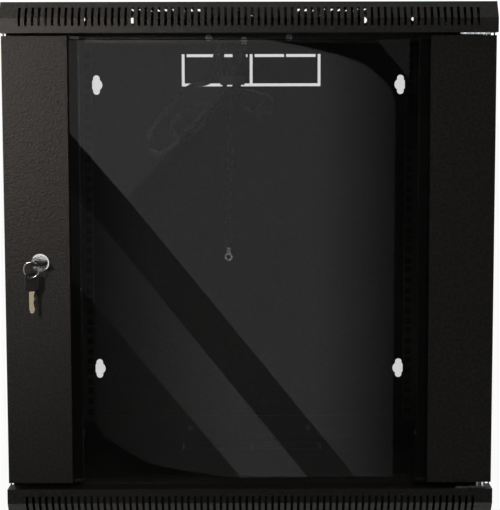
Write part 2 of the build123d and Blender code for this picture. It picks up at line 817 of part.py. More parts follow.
def build_cam_lock(face, arm_direction, barrel_length, reach, bend_start, bend_run, bend_rise, grip):
    """Lock set in a sheet: face is the sheet's outer plane, with its normal pointing out."""
    plug_top = lock_head_height - plug_recess
    plug_end = -barrel_length - cam_clearance
    cam_face = plug_end
    with BuildPart() as body:
        with BuildSketch(face):
            Circle(lock_head_radius)
        extrude(amount=lock_head_height)
        chamfer(body.faces().sort_by(Axis(face.origin, face.z_dir))[-1].edges(), lock_head_height / 2)
        with BuildSketch(face):
            Circle(lock_barrel_radius)
            Rectangle(2 * lock_barrel_radius, 2 * lock_flat, mode=Mode.INTERSECT)
        extrude(amount=-barrel_length)
        with BuildSketch(face.offset(lock_head_height + overrun)):
            Circle(lock_plug_radius + running_gap)
        extrude(amount=-(lock_head_height + barrel_length + 2 * overrun), mode=Mode.SUBTRACT)
    with BuildPart() as nut:
        with BuildSketch(face.offset(-grip)):
            RegularPolygon(hexagon_radius(lock_nut_across), 6)
            Circle(lock_barrel_radius + lock_fit, mode=Mode.SUBTRACT)
        extrude(amount=-lock_nut_height)
    with BuildPart() as plug:
        with BuildSketch(face.offset(plug_top)):
            Circle(lock_plug_radius)
        extrude(amount=plug_end - plug_top)
        with BuildSketch(face.offset(plug_end)):
            Rectangle(cam_square, cam_square)
        extrude(amount=-cam_thickness - lock_fit)
        with BuildSketch(face.offset(plug_top)):
            Rectangle(keyway_width, keyway_thickness)
        keyway_depth = min(key_blade_length + seat_gap, plug_top - plug_end - 2 * plug_recess)
        extrude(amount=-keyway_depth, mode=Mode.SUBTRACT)
    arm = Plane(face.origin, x_dir=arm_direction, z_dir=face.z_dir)
    arm_side = Plane(face.origin, x_dir=arm_direction, z_dir=arm.y_dir * -1)
    if bend_rise:
        cam_path = [
            (-cam_width / 2, cam_face),
            (bend_start, cam_face),
            (bend_start + bend_run, cam_face + bend_rise),
            (reach, cam_face + bend_rise),
        ]
    else:
        cam_path = [(-cam_width / 2, cam_face), (reach, cam_face)]
    with BuildPart() as cam:
        with BuildSketch(arm_side):
            Polygon(*folded_section(cam_path, cam_thickness), align=None)
        extrude(amount=cam_width / 2, both=True)
        with BuildSketch(arm.offset(lock_head_height)):
            with Locations(((reach - cam_width / 2) / 2, 0)):
                SlotOverall(reach + cam_width / 2, cam_width)
        extrude(amount=-(barrel_length * 2), mode=Mode.INTERSECT)
        with BuildSketch(arm.offset(lock_head_height)):
            Rectangle(cam_square + lock_fit, cam_square + lock_fit)
        extrude(amount=-(barrel_length * 2), mode=Mode.SUBTRACT)
    with BuildPart() as screw:
        with BuildSketch(face.offset(plug_end - cam_thickness - lock_fit)):
            Circle(lock_plug_radius)
        extrude(amount=-screw_head_height)
    return body, nut, plug, cam, screw


door_face = Plane((lock_x, door_front, lock_z), x_dir=(1, 0, 0), z_dir=(0, -1, 0))
door_barrel = stop_front + sheet - door_front
door_lock = build_cam_lock(door_face, (0, 0, 1), door_barrel, cam_reach, 0, 0, 0, sheet)
for piece, node in zip(door_lock, ("body", "nut", "plug", "cam", "cam_screw")):
    save(piece, f"lock_{node}")

# Keys: one in the lock, one that hangs from its ring
plug_face = lock_head_height - plug_recess
blade_top = key_stand_off
head_top = key_stand_off + key_head_height
key_slot_centre = head_top - key_rim - key_slot_height / 2


def build_key(root_plane):
    """Blade and head of a key whose head rises along the plane's normal from its origin."""
    upright = Plane(root_plane.origin, x_dir=root_plane.x_dir, z_dir=root_plane.y_dir * -1)
    bite = key_blade_length / len(key_bite_shares)
    edge = [
        (key_blade_width * (0.5 - share), -bite * index)
        for index, share in enumerate(key_bite_shares)
    ]
    tip = [(key_blade_width / 4, -key_blade_length), (-key_blade_width / 4, -key_blade_length)]
    heel = [(-key_blade_width / 2, -bite * (len(key_bite_shares) - 1)), (-key_blade_width / 2, blade_top)]
    with BuildPart() as blade:
        with BuildSketch(upright):
            Polygon(*edge, *tip, *heel, (key_blade_width / 2, blade_top), align=None)
        extrude(amount=key_blade_thickness / 2, both=True)
    with BuildPart() as head:
        with BuildSketch(upright):
            with Locations((0, (blade_top + head_top) / 2)):
                RectangleRounded(key_head_width, key_head_height, key_head_corner)
            with Locations((0, key_slot_centre)):
                SlotOverall(key_slot_width, key_slot_height, mode=Mode.SUBTRACT)
        extrude(amount=key_head_thickness / 2, both=True)
        flat_faces = head.faces().filter_by(Axis(upright.origin, upright.z_dir)).sort_by(SortBy.AREA)[-2:]
        chamfer(flat_faces.edges(), key_head_edge)
    return blade, head


key_plane = door_face.offset(plug_face)
key_blade, key_head = build_key(key_plane)
save(key_blade, "key_blade")
save(key_head, "key_head")

rim_width = (key_head_width - key_slot_width) / 2
rim_corner = hypot(rim_width / 2, key_head_thickness / 2 - key_head_edge)
ring_drop = ring_radius - ring_wire - rim_corner - seat_gap
ring_x = lock_x - key_head_width / 2 + rim_width / 2
ring_y = door_front - plug_face - key_slot_centre
ring_z = lock_z - ring_drop
with BuildPart() as key_ring:
    with BuildSketch(Plane((ring_x, ring_y, ring_z), x_dir=(1, 0, 0), z_dir=(0, 0, 1))):
        with Locations((ring_radius, 0)):
            RegularPolygon(ring_wire, 8)
    revolve(axis=Axis((ring_x, ring_y, ring_z), (0, 1, 0)))
save(key_ring, "key_ring")

spare_top = ring_z - ring_radius + ring_wire + seat_gap + key_rim
twist = radians(spare_key_twist)
spare_plane = Plane(
    (ring_x, ring_y, spare_top - head_top), x_dir=(cos(twist), sin(twist), 0), z_dir=(0, 0, 1)
)
spare_blade, spare_head = build_key(spare_plane)
save(spare_blade, "spare_key_blade")
save(spare_head, "spare_key_head")

# Side panels that stand on the base's side flanges and latch behind the roof's
panel_end = sheet + screw_head_height + panel_end_gap
panel_front = post_rear + panel_end
panel_rear = -rear_column_depth - panel_end
panel_bottom = tray_side_flange - half_height + seat_gap
panel_top = half_height - tray_side_flange - panel_top_gap
panel_mid_y = (panel_front + panel_rear) / 2
panel_lock_z = panel_top - panel_lock_drop
panel_path = [
    (half_width - panel_return, panel_rear),
    (half_width, panel_rear),
    (half_width, panel_front),
    (half_width - panel_return, panel_front),
]
tongue_outer = half_width - sheet - seat_gap
with BuildPart() as side_panel:
    with BuildSketch(Plane.XY.offset(panel_bottom)):
        Polygon(*folded_section(panel_path, panel_sheet), align=None)
    extrude(amount=panel_top - panel_bottom)
    box_between(
        (half_width - panel_return, panel_front, panel_bottom),
        (half_width, panel_rear, panel_bottom + panel_sheet),
    )
    for side in (-1, 1):
        tongue_y = panel_mid_y + side * panel_tongue_spacing / 2
        tongue_low_z = panel_bottom - panel_tongue_depth
        box_between(
            (tongue_outer - panel_sheet, tongue_y - panel_tongue_length / 2, tongue_low_z),
            (tongue_outer, tongue_y + panel_tongue_length / 2, panel_bottom + panel_sheet),
        )
    with BuildSketch(Plane.YZ.offset(half_width + overrun)):
        low_row = panel_bottom + panel_slot_margin
        high_row = low_row + panel_slot_height + panel_slot_pitch
        with Locations((panel_mid_y, low_row), (panel_mid_y, high_row)):
            with GridLocations(panel_slot_pitch, panel_slot_pitch, panel_slot_count, 1):
                Rectangle(panel_slot_width, panel_slot_height)
        with Locations((panel_mid_y, panel_lock_z)):
            Circle(lock_barrel_radius + lock_fit)
    extrude(amount=-(panel_sheet + 2 * overrun), mode=Mode.SUBTRACT)
save_pair(side_panel, "side_panel")

panel_face = Plane((half_width, panel_mid_y, panel_lock_z), x_dir=(0, 1, 0), z_dir=(1, 0, 0))
panel_cam_rise = panel_barrel_length - sheet
panel_lock = build_cam_lock(
    panel_face, (0, 1, 0), panel_barrel_length, panel_cam_reach,
    panel_cam_bend, panel_cam_rise_run, panel_cam_rise, panel_sheet,
)
*panel_lock, panel_rivet = panel_lock
with BuildPart() as riveted_plug:
    add(panel_lock[2].part)
    add(panel_rivet.part)
panel_lock[2] = riveted_plug
for piece, node in zip(panel_lock, ("body", "nut", "plug", "cam")):
    save_pair(piece, f"panel_lock_{node}")

# Earth lead: a stud behind the roof's stop flange carries its upper terminal
lead_y = front + lead_plane_setback
stud_length = sheet + terminal_thickness + nut_height
with BuildPart() as earth_stud:
    add_screw(Plane.XZ.offset(-stop_front), [(lead_stud_x, lead_stud_z)], stud_length + nut_overlap)
save(earth_stud, "earth_stud")
stop_back = stop_front + sheet
with BuildPart() as earth_nut:
    with BuildSketch(Plane.XZ.offset(-stop_back - terminal_thickness)):
        with Locations((lead_stud_x, lead_stud_z)):
            RegularPolygon(hexagon_radius(nut_across), 6)
            Circle(screw_radius + running_gap, mode=Mode.SUBTRACT)
    extrude(amount=-(nut_height - sheet))
save(earth_nut, "earth_nut")


def build_terminal(ring_place, plate_y, barrel_length, rises):
    """Crimped ring terminal: a flat ring in an upright plane and the barrel above it."""
    ring_at_x, ring_at_z = ring_place
    barrel_start = ring_at_z + terminal_ring_radius - terminal_thickness
    with BuildPart() as terminal:
        with BuildSketch(Plane.XZ.offset(-plate_y)):
            with Locations((ring_at_x, ring_at_z)):
                Circle(terminal_ring_radius)
            with Locations((ring_at_x, ring_at_z + terminal_ring_radius)):
                Rectangle(2 * terminal_barrel_radius, 2 * terminal_ring_radius)
            with Locations((ring_at_x, ring_at_z)):
                Circle(terminal_hole_radius, mode=Mode.SUBTRACT)
        extrude(amount=-terminal_thickness)
        barrel_y = plate_y + (terminal_barrel_radius if rises else terminal_thickness / 2)
        with BuildSketch(Plane.XY.offset(barrel_start + terminal_thickness)):
            with Locations((ring_at_x, barrel_y)):
                Circle(terminal_barrel_radius)
        extrude(amount=barrel_length)
    return terminal, barrel_y, barrel_start + terminal_thickness + barrel_length


upper_terminal, exit_y, exit_z = build_terminal(
    (lead_stud_x, lead_stud_z), stop_back, terminal_barrel_length, True
)
save(upper_terminal, "lead_terminal_upper")

# Route of the lead from the upper terminal over into the hank, and from the hank down
upper_route = [
    (lead_stud_x, exit_y, exit_z),
    (lead_stud_x, exit_y, 306.0),
    (-18.0, lead_y, 304.0),
    (-18.0, lead_y, hank_top_z),
]
lower_route = [
    (-24.5, lead_y, hank_bottom_z),
    (-24.5, lead_y, 166.0),
    (-23.0, lead_y, 122.0),
    (-26.0, lead_y, 80.0),
    (-26.0, lead_y, 46.0),
]
arc_share = 0.45


def corner_radii(route):
    """Radius at each corner of a route: as large as its two runs allow."""
    points = [Vector(*point) for point in route]
    radii = []
    for before, corner, after in zip(points, points[1:], points[2:]):
        shorter = min((corner - before).length, (after - corner).length)
        turn = radians((corner - before).get_angle(after - corner))
        radii.append(arc_share * shorter / tan(turn / 2))
    return radii


def build_lead(route):
    """Round lead that follows the route in straight runs joined by arcs."""
    radii = corner_radii(route)
    print("lead radii", [round(radius, 1) for radius in radii])
    with BuildPart() as lead:
        with BuildLine() as path:
            FilletPolyline(*route, radius=radii)
        with BuildSketch(Plane(origin=path.wires()[0] @ 0, z_dir=path.wires()[0] % 0)):
            Circle(lead_diameter / 2)
        sweep()
    section = pi * (lead_diameter / 2) ** 2
    print("lead volume over section times length", lead.part.volume / (section * path.wires()[0].length))
    return lead


save(build_lead(upper_route), "earth_lead_upper")
save(build_lead(lower_route), "earth_lead_lower")

# Hank: the lead's strands and loops as one closed form, narrow where the tie holds it
waist_left = tie_x - waist_width / 2
waist_right = tie_x + waist_width / 2
tie_top_z = tie_bottom_z + tie_height + tie_gap
hank_upper = [
    (waist_left, hank_bottom_z),
    (waist_right, hank_bottom_z),
    (waist_right, tie_top_z),
    (waist_right + hank_flare_right, hank_top_z),
    (waist_left - hank_flare_left, hank_top_z),
    (waist_left, tie_top_z),
]
with BuildPart() as hank:
    with BuildSketch(Plane.XZ.offset(-lead_y)):
        Polygon(*hank_upper, align=None)
    extrude(amount=hank_depth / 2, both=True)
    for rounds in (hank_leg_high, hank_leg_low, hank_left_loop, hank_right_loop):
        with BuildSketch(Plane.XZ.offset(-lead_y)):
            for round_x, round_z, round_radius in rounds:
                with Locations((round_x, round_z)):
                    Circle(round_radius)
            make_hull()
        extrude(amount=hank_depth / 2, both=True)
    chamfer(hank.faces().filter_by(Axis.Y).edges(), lead_diameter / 4)
save(hank, "earth_lead_hank")

with BuildPart() as lead_tie:
    with BuildSketch(Plane.XY.offset(tie_bottom_z)):
        with Locations((tie_x, lead_y)):
            inner_width = waist_width + 2 * tie_gap
            inner_depth = hank_depth + 2 * tie_gap
            outer_width = inner_width + 2 * tie_thickness
            outer_depth = inner_depth + 2 * tie_thickness
            RectangleRounded(outer_width, outer_depth, 2 * tie_thickness)
            RectangleRounded(inner_width, inner_depth, tie_thickness, mode=Mode.SUBTRACT)
    extrude(amount=tie_height)
save(lead_tie, "lead_tie")

# Sleeve and lower terminal at the lead's free end
end_x, _, sleeve_top = lower_route[-1]
sleeve_bottom = sleeve_top - sleeve_length
with BuildPart() as lead_sleeve:
    with BuildSketch(Plane.XY.offset(sleeve_bottom)):
        with Locations((end_x, lead_y)):
            Circle(sleeve_radius)
    extrude(amount=sleeve_length)
    chamfer(lead_sleeve.edges().filter_by(GeomType.CIRCLE), sleeve_radius / 4)
save(lead_sleeve, "lead_sleeve")
lower_ring_z = sleeve_bottom - terminal_barrel_length - terminal_ring_radius
lower_terminal, _, _ = build_terminal(
    (end_x, lower_ring_z), lead_y - terminal_thickness / 2, terminal_barrel_length, False
)
save(lower_terminal, "lead_terminal_lower")

# Rubber bumpers on the left post, under the door's lip
bumper_x = bumper_inset + bumper_radius - column_x
with BuildPart() as door_bumpers:
    with BuildSketch(Plane.XZ.offset(-stop_front)):
        with Locations((bumper_x, -bumper_spacing / 2), (bumper_x, bumper_spacing / 2)):
            Circle(bumper_radius)
    extrude(amount=stop_front - door_back - seat_gap, taper=bumper_taper)
save(door_bumpers, "door_bumpers")
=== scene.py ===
import json
import math

import bmesh
import bpy
from mathutils import Matrix, Vector


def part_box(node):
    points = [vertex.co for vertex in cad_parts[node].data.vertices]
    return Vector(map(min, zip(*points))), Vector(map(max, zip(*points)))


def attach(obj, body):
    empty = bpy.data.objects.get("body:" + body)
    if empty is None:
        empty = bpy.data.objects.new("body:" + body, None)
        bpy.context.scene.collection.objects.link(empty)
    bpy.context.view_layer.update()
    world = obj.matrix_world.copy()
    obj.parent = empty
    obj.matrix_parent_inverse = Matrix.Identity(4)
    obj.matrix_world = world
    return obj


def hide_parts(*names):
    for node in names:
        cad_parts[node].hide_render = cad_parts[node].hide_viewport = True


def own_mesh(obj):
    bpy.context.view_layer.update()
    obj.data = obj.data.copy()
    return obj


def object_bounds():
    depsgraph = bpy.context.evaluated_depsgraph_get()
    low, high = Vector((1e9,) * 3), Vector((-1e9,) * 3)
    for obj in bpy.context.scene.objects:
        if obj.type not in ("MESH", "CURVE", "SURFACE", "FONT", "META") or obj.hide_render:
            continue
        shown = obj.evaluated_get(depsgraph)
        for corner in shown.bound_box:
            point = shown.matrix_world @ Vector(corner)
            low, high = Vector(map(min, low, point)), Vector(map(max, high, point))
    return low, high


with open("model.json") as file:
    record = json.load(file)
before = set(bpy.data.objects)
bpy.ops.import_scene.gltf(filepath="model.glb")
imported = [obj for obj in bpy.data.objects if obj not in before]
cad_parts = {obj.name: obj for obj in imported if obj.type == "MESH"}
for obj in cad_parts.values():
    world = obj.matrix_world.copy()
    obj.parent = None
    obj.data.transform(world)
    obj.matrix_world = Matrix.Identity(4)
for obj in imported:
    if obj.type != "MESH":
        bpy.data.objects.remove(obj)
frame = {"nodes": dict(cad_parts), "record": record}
cad_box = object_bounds()
nodes = frame["nodes"]
scene = bpy.context.scene
scene.view_settings.view_transform = "Standard"
MM = 0.001
X, Y, Z = (1, 0, 0), (0, 1, 0), (0, 0, 1)


def link(obj):
    scene.collection.objects.link(obj)
    return obj


# Camera: a little above the middle, looking slightly down. Angles are in radians
camera_spot = (-0.0040, -2.4007, 0.2186)
pitch, yaw, roll = 0.1058, 0.0024, -0.0021
focal_length = 115.96
sensor_width = 36.0
far_clip = 60.0

forward = Vector((math.sin(yaw) * math.cos(pitch), math.cos(yaw) * math.cos(pitch), -math.sin(pitch)))
level = Vector((math.cos(yaw), -math.sin(yaw), 0.0))
above = level.cross(forward)
right = level * math.cos(roll) + above * math.sin(roll)
above = right.cross(forward)
lens = bpy.data.cameras.new("camera")
lens.sensor_width = sensor_width
lens.sensor_fit = "HORIZONTAL"
lens.lens = focal_length
lens.clip_end = far_clip
camera = link(bpy.data.objects.new("camera", lens))
place = Matrix((right, above, -forward)).transposed().to_4x4()
place.translation = camera_spot
camera.matrix_world = place
scene.camera = camera


# Nodes that several materials need
def map_range(tree, value, start, end, low, high):
    """Value, where start to end becomes low to high."""
    node = tree.nodes.new("ShaderNodeMapRange")
    for key, number in (("From Min", start), ("From Max", end), ("To Min", low), ("To Max", high)):
        node.inputs[key].default_value = number
    tree.links.new(value, node.inputs["Value"])
    return node.outputs["Result"]


def math_node(tree, operation, first, second):
    """Result of an operation on two sockets or numbers."""
    node = tree.nodes.new("ShaderNodeMath")
    node.operation = operation
    for socket, value in zip(node.inputs, (first, second)):
        if isinstance(value, float):
            socket.default_value = value
        else:
            tree.links.new(value, socket)
    return node.outputs[0]


def mix_shaders(tree, share, first, second):
    """First shader where share is 0, second where it is 1."""
    node = tree.nodes.new("ShaderNodeMixShader")
    for socket, value in zip(node.inputs, (share, first, second)):
        tree.links.new(value, socket)
    return node.outputs[0]


# Materials
class Maker:
    """One node material with a Principled shader and noise in object space."""

    noise_low, noise_high = 0.3, 0.7

    def __init__(self, name, color, roughness, metallic=0.0):
        self.material = bpy.data.materials.new(name)
        self.material.use_nodes = True
        self.tree = self.material.node_tree
        self.shader = self.tree.nodes["Principled BSDF"]
        self.shader.inputs["Base Color"].default_value = (*color, 1.0)
        self.shader.inputs["Roughness"].default_value = roughness
        self.shader.inputs["Metallic"].default_value = metallic
        self.color, self.roughness = color, roughness
        self.coords = self.tree.nodes.new("ShaderNodeTexCoord").outputs["Object"]
        self.last_bump = None

    def wire(self, out, into):
        self.tree.links.new(out, into)

    def noise(self, scale, detail, stretch=None):
        coords = self.coords
        if stretch:
            mapping = self.tree.nodes.new("ShaderNodeMapping")
            mapping.inputs["Scale"].default_value = stretch
            self.wire(coords, mapping.inputs["Vector"])
            coords = mapping.outputs["Vector"]
        node = self.tree.nodes.new("ShaderNodeTexNoise")
        node.inputs["Scale"].default_value = scale
        node.inputs["Detail"].default_value = detail
        self.wire(coords, node.inputs["Vector"])
        return node.outputs["Fac"]

    def spread(self, value, low, high):
        return map_range(self.tree, value, self.noise_low, self.noise_high, low, high)

    def vary_color(self, scale, amount, detail=3.0):
        """Color that differs by up to amount, as a share of itself."""
        node = self.tree.nodes.new("ShaderNodeMix")
        node.data_type = "RGBA"
        node.inputs["A"].default_value = (*(c * (1 - amount) for c in self.color), 1.0)
        node.inputs["B"].default_value = (*(c * (1 + amount) for c in self.color), 1.0)
        self.wire(self.spread(self.noise(scale, detail), 0.0, 1.0), node.inputs["Factor"])
        self.wire(node.outputs["Result"], self.shader.inputs["Base Color"])
        return self

    def vary_roughness(self, scale, amount, detail=3.0):
        value = self.spread(self.noise(scale, detail), self.roughness - amount, self.roughness + amount)
        self.wire(value, self.shader.inputs["Roughness"])
        return self

    def bump(self, scale, depth, strength=1.0, detail=2.0, stretch=None):
        """Unevenness of a depth in metres, on top of any bump before it."""
        node = self.tree.nodes.new("ShaderNodeBump")
        node.inputs["Strength"].default_value = strength
        node.inputs["Distance"].default_value = depth
        self.wire(self.noise(scale, detail, stretch), node.inputs["Height"])
        if self.last_bump:
            self.wire(self.last_bump, node.inputs["Normal"])
        self.last_bump = node.outputs["Normal"]
        self.wire(self.last_bump, self.shader.inputs["Normal"])
        return self

    def set(self, **values):
        for key, value in values.items():
            self.shader.inputs[key.replace("_", " ")].default_value = value
        return self


coat = Maker("powder_coat", (0.0122, 0.0112, 0.0092), 0.52).set(Specular_IOR_Level=0.24)
coat.vary_color(260, 0.55, 4.0).vary_roughness(260, 0.07)
coat.bump(330, 0.00110, 0.90, 3.0).bump(1500, 0.00016, 0.5, 1.0)
# Roof: a lighter copy of the black powder coat, painted light that brightens the top fascia
roof_coat_painted_light = Maker("roof_coat_painted_light", (0.0225, 0.0212, 0.0188), 0.52).set(Specular_IOR_Level=0.22)
roof_coat_painted_light.vary_color(260, 0.45, 4.0).vary_roughness(260, 0.07)
roof_coat_painted_light.bump(430, 0.00045, 0.70, 3.0).bump(1500, 0.00014, 0.5, 1.0)
# Rails: a lighter, glossier copy of the black powder coat, painted light so that they show lit behind the
# glass
rail_coat_painted_light = Maker("rail_coat_painted_light", (0.040, 0.039, 0.037), 0.46).set(Specular_IOR_Level=0.35)
rail_coat_painted_light.vary_color(20, 0.10).vary_roughness(260, 0.06).bump(1200, 0.00018, 0.35, 2.0)
zinc = Maker("zinc", (0.60, 0.62, 0.64), 0.30, 1.0)
zinc.vary_color(160, 0.10).vary_roughness(240, 0.08).bump(900, 0.00005, 0.4)
dull_zinc = Maker("dull_zinc", (0.20, 0.205, 0.21), 0.42, 1.0)
dull_zinc.vary_color(160, 0.15).vary_roughness(240, 0.08).bump(900, 0.00005, 0.4)
steel = Maker("bright_steel", (0.58, 0.58, 0.58), 0.16, 1.0).vary_color(400, 0.06).vary_roughness(500, 0.06)
chrome = Maker("chrome", (0.72, 0.70, 0.69), 0.06, 1.0).vary_color(300, 0.04).vary_roughness(420, 0.03)
chrome.bump(600, 0.00003, 0.3)
nickel = Maker("nickel_silver", (0.37, 0.31, 0.21), 0.28, 1.0).vary_color(700, 0.12).vary_roughness(600, 0.08)
nickel.bump(60, 0.00004, 0.5, 2.0, (1.0, 1.0, 30.0))
moulded = Maker("moulded_plastic", (0.005, 0.005, 0.005), 0.55).set(Specular_IOR_Level=0.25)
moulded.vary_color(300, 0.15).vary_roughness(500, 0.08).bump(1600, 0.00006, 0.5)
tie_nylon = Maker("tie_nylon", (0.010, 0.010, 0.010), 0.42).vary_color(200, 0.15).vary_roughness(300, 0.06)
tie_nylon.bump(220, 0.0003, 0.6, 0.0, (1.0, 1.0, 0.05))
rubber = Maker("black_rubber", (0.018, 0.018, 0.018), 0.75).vary_color(300, 0.15).vary_roughness(400, 0.08)
rubber.bump(1400, 0.00008, 0.4)
foam = Maker("foam_tape", (0.014, 0.014, 0.014), 0.85).vary_color(600, 0.2).bump(2200, 0.00015, 0.6)
pvc = Maker("lead_pvc", (0.004, 0.004, 0.004), 0.26).set(Specular_IOR_Level=0.35)
pvc.vary_color(90, 0.15).vary_roughness(160, 0.07).bump(500, 0.00005, 0.4)
tin = Maker("tinned_copper", (0.80, 0.79, 0.76), 0.26, 1.0).vary_color(500, 0.08).vary_roughness(700, 0.08)
tin.bump(900, 0.00004, 0.4)
glass = Maker("smoked_glass", (0.70, 0.705, 0.70), 0.012).set(Transmission_Weight=1.0, IOR=1.5)
glass.vary_roughness(2.5, 0.004)

by_slot = {
    "black_powder_coat": coat, "zinc_plate": zinc, "bright_steel": steel, "smoked_glass": glass,
    "foam_tape": foam, "chrome_plate": chrome, "nickel_silver": nickel, "black_plastic": moulded,
    "tinned_copper": tin, "black_rubber": rubber, "black_pvc": pvc,
}
by_node = {
    "roof": roof_coat_painted_light, "lead_tie": tie_nylon, "frame_screws": dull_zinc, "earth_stud": dull_zinc,
    "rail_front_left": rail_coat_painted_light, "rail_front_right": rail_coat_painted_light,
    "rail_rear_left": rail_coat_painted_light, "rail_rear_right": rail_coat_painted_light,
}
slot_of = {part["node"]: part["material_slot"] for part in frame["record"]["subparts"]}
for name, obj in nodes.items():
    maker = by_node.get(name, by_slot[slot_of[name]])
    obj.data.materials.clear()
    obj.data.materials.append(maker.material)


# Earth lead: one limp cord from the stud, folded into the hank, then down. Millimetres, depth from lead_y.
# The points were placed by hand, and a scratch program then moved most of them to ease the folds
lead_diameter = 5.5 * MM
lead_y = -385.0
lead_points = [
    (-6.0, -32.9, 284.6), (-6.0, -32.9, 306.0), (-18.0, 0.0, 304.0), (-18.0, 3.0, 270.0),
    (-17.5, 3.0, 245.0), (-18.3, 3.0, 225.2), (-12.7, 2.8, 210.6), (5.3, 2.1, 208.4),
    (25.6, 0.3, 204.3), (29.7, -1.4, 188.9), (18.2, -1.3, 177.9), (-0.2, 0.0, 184.3),
    (-14.0, 2.0, 198.0), (-11.5, -3.0, 232.0), (-12.1, -3.0, 252.3), (-23.2, -3.1, 266.2),
    (-38.1, -3.1, 263.7), (-43.7, -3.1, 248.5), (-39.8, -3.0, 230.1), (-52.0, -3.0, 218.0),
    (-72.0, -3.0, 219.0), (-92.0, -3.0, 198.0), (-112.0, -3.0, 176.0), (-129.5, -2.0, 152.3),
    (-125.4, -1.1, 134.7), (-105.7, -1.0, 131.6), (-86.1, 0.0, 152.1), (-68.0, 0.0, 168.0),
    (-52.0, 0.0, 190.0), (-34.0, 1.0, 205.0), (-29.4, 3.0, 216.0), (-29.6, 3.0, 234.0),
    (-35.0, 2.9, 255.7), (-26.8, 4.3, 267.2), (-12.0, 4.0, 266.5), (-4.3, 3.1, 251.5),
    (-11.5, 3.0, 232.1), (-22.0, 4.0, 206.0), (-45.1, 3.9, 196.0), (-66.0, 4.0, 189.9),
    (-94.2, 3.1, 176.9), (-98.8, 2.9, 158.5), (-83.2, 2.9, 147.4), (-63.7, 3.0, 161.5),
    (-47.8, 3.0, 184.0), (-30.5, 2.9, 202.2), (-29.0, -2.9, 215.0), (-36.3, -2.7, 231.9),
    (-37.9, -2.7, 256.3), (-17.1, -4.1, 262.8), (-3.5, -3.3, 239.5), (-17.1, -2.8, 216.5),
    (-15.0, -2.9, 202.6), (-4.9, -3.5, 184.1), (9.9, -4.2, 183.3), (18.1, -4.4, 194.6),
    (12.7, -2.8, 208.6), (-5.7, -2.0, 211.2), (-17.2, -0.9, 212.1), (-24.9, -0.2, 206.3),
    (-26.6, 0.2, 196.9), (-24.5, -0.1, 166.0), (-23.0, 0.0, 122.0), (-26.0, 0.0, 80.0),
    (-26.0, 0.0, 46.0),
]
curve = bpy.data.curves.new("earth_lead", "CURVE")
curve.dimensions = "3D"
curve.resolution_u = 10
curve.bevel_depth = lead_diameter / 2
curve.bevel_resolution = 5
curve.use_fill_caps = True
spline = curve.splines.new("NURBS")
spline.points.add(len(lead_points) - 1)
for point, (x, across, z) in zip(spline.points, lead_points):
    point.co = (x * MM, (lead_y + across) * MM, z * MM, 1.0)
spline.order_u = 3
spline.use_endpoint_u = True
lead = link(bpy.data.objects.new("earth_lead", curve))
curve.materials.append(pvc.material)
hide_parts("earth_lead_upper", "earth_lead_hank", "earth_lead_lower")
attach(lead, "cabinet")


def coil(name, centre, radius, wire, turns, rise, axes, material, steps=72, sides=10):
    """Round wire in turns about the last of axes, rising by rise from end to end. Its own radius is wire."""
    across, second, along = (Vector(axis) for axis in axes)
    mesh = bmesh.new()
    rows = []
    for step in range(turns * steps + 1):
        angle = math.tau * step / steps
        out = across * math.cos(angle) + second * math.sin(angle)
        middle = centre + out * radius + along * (step / (turns * steps) - 0.5) * rise
        row = []
        for k in range(sides):
            turn = math.tau * k / sides
            row.append(mesh.verts.new(middle + (out * math.cos(turn) + along * math.sin(turn)) * wire))
        rows.append(row)
    for before, after in zip(rows, rows[1:]):
        for k in range(sides):
            mesh.faces.new((before[k], before[(k + 1) % sides], after[(k + 1) % sides], after[k]))
    mesh.faces.new(rows[0][::-1])
    mesh.faces.new(rows[-1])
    bmesh.ops.recalc_face_normals(mesh, faces=mesh.faces)
    data = bpy.data.meshes.new(name)
    mesh.to_mesh(data)
    mesh.free()
    for face in data.polygons:
        face.use_smooth = True
    data.materials.append(material)
    return link(bpy.data.objects.new(name, data))


# Key ring: round wire in turns pressed together, in place of the plain ring
ring_wire = 0.55 * MM
ring_height = 1.8 * MM
ring_turns = 2
low, high = (Vector(corner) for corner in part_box("key_ring"))
ring = coil("split_ring", (low + high) / 2, (high.x - low.x) / 2 - ring_wire, ring_wire, ring_turns,
            ring_height - 2 * ring_wire, (X, Z, Y), steel.material)
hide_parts("key_ring")
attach(ring, "ring")

# Hinge spring: rides on the pin
spring_wire = 0.4 * MM
spring_turns = 5
low, high = (Vector(corner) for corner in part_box("hinge_spring"))
height = high.z - low.z
spring = coil("release_spring", (low + high) / 2, (high.x - low.x) / 2 - spring_wire, spring_wire,
              spring_turns, height - 2 * spring_wire, (X, Y, Z), steel.material, steps=24, sides=8)
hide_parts("hinge_spring")
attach(spring, "hinge_release_pin")
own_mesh(spring)


# World: pale light all round, and plain white where it is seen directly
def seen_direct(tree):
    """1 for camera rays, and for mirrored or refracted ones that have met no matt surface."""
    path = tree.nodes.new("ShaderNodeLightPath").outputs
    no_gloss = math_node(tree, "LESS_THAN", path["Glossy Depth"], 0.5)
    no_matt = math_node(tree, "LESS_THAN", path["Diffuse Depth"], 0.5)
    through = math_node(tree, "MULTIPLY", path["Is Transmission Ray"], no_gloss)
    bounced = math_node(tree, "MULTIPLY", math_node(tree, "MAXIMUM", path["Is Glossy Ray"], through), no_matt)
    return math_node(tree, "MAXIMUM", path["Is Camera Ray"], bounced)


world = bpy.data.worlds.new("studio")
world.use_nodes = True
scene.world = world
world_tree = world.node_tree
sky = world_tree.nodes["Background"]
sky.inputs["Color"].default_value = (0.97, 0.98, 1.0, 1.0)
sky.inputs["Strength"].default_value = 0.26
white = world_tree.nodes.new("ShaderNodeBackground")
white.inputs["Color"].default_value = (1.0, 1.0, 1.0, 1.0)
white.inputs["Strength"].default_value = 1.0
shown = mix_shaders(world_tree, seen_direct(world_tree), sky.outputs[0], white.outputs[0])
world_tree.links.new(shown, world_tree.nodes["World Output"].inputs[0])


# Staged surfaces
def rectangle(low, high):
    return [(low[0], low[1]), (high[0], low[1]), (high[0], high[1]), (low[0], high[1])]


